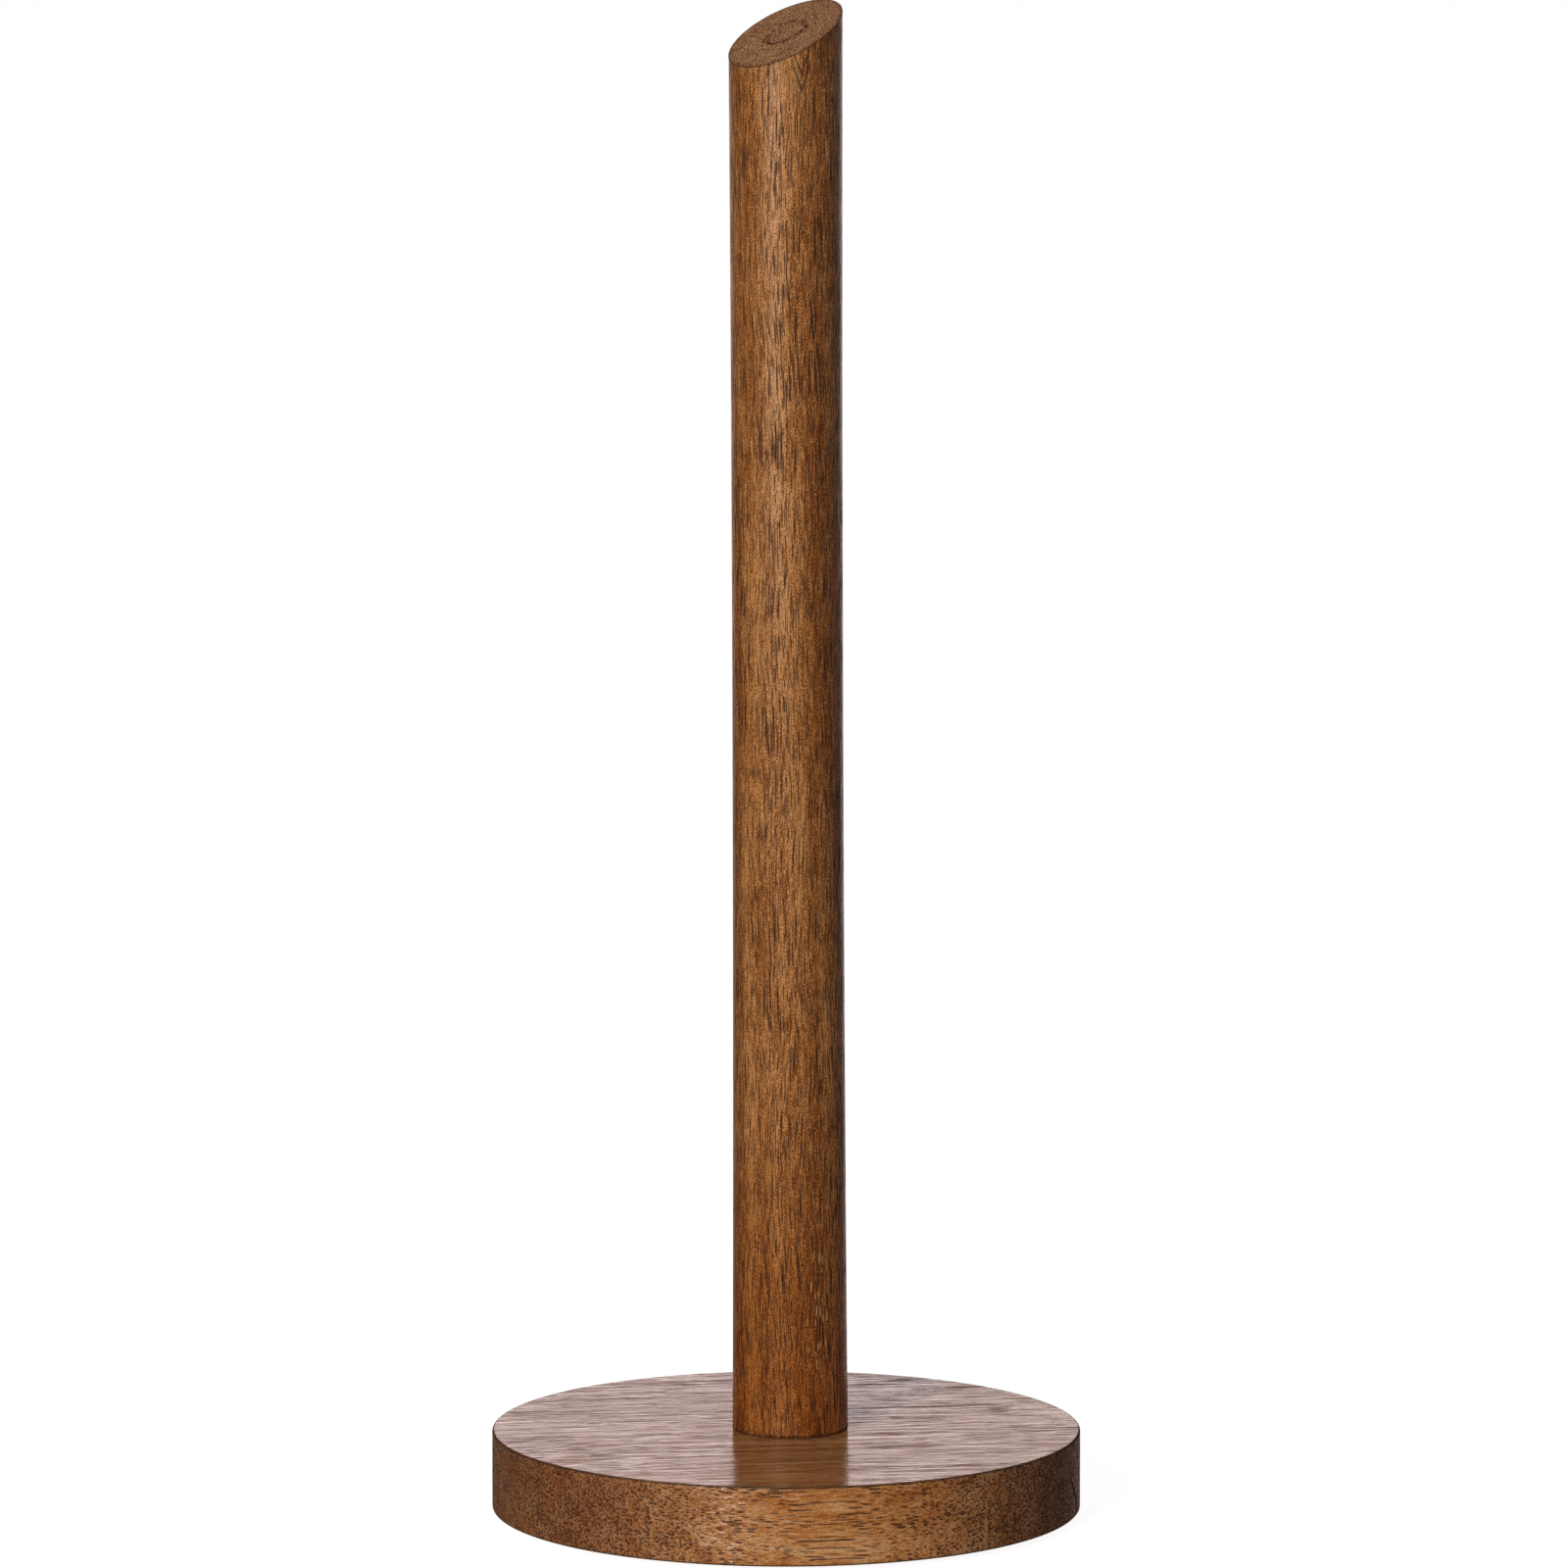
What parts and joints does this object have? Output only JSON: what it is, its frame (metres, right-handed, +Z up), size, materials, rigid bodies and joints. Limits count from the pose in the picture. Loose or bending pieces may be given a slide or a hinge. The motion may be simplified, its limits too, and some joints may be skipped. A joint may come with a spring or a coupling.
{
  "type": "paper towel holder",
  "caption": "Free-standing wooden paper towel holder: a straight round post with a slanted top, screwed upright onto a round base disc; the roll drops over the post.",
  "frame": {"origin": "on the table, under the post's axis: the middle of the underside of the foot pads", "axes": "+Z up along the post; X along the base disc's grain, from left to right as seen from the front; the front faces -Y"},
  "size_m": [0.13, 0.13, 0.335],
  "materials": {
    "base_wood": "semi-gloss clear lacquer over warm brown stained hardwood, grain along X",
    "post_wood": "satin clear lacquer over warm brown stained hardwood, grain along Z",
    "brass": "turned",
    "steel": "zinc plated",
    "rubber": "matt"
  },
  "bodies": {
    "root": {"base_disc": "base_wood", "post": "post_wood", "threaded_insert": "brass", "fixing_screw": "steel", "lock_washer": "steel", "flat_washer": "steel", "foot_1": "rubber", "foot_2": "rubber", "foot_3": "rubber", "foot_4": "rubber"}
  },
  "joints": []
}
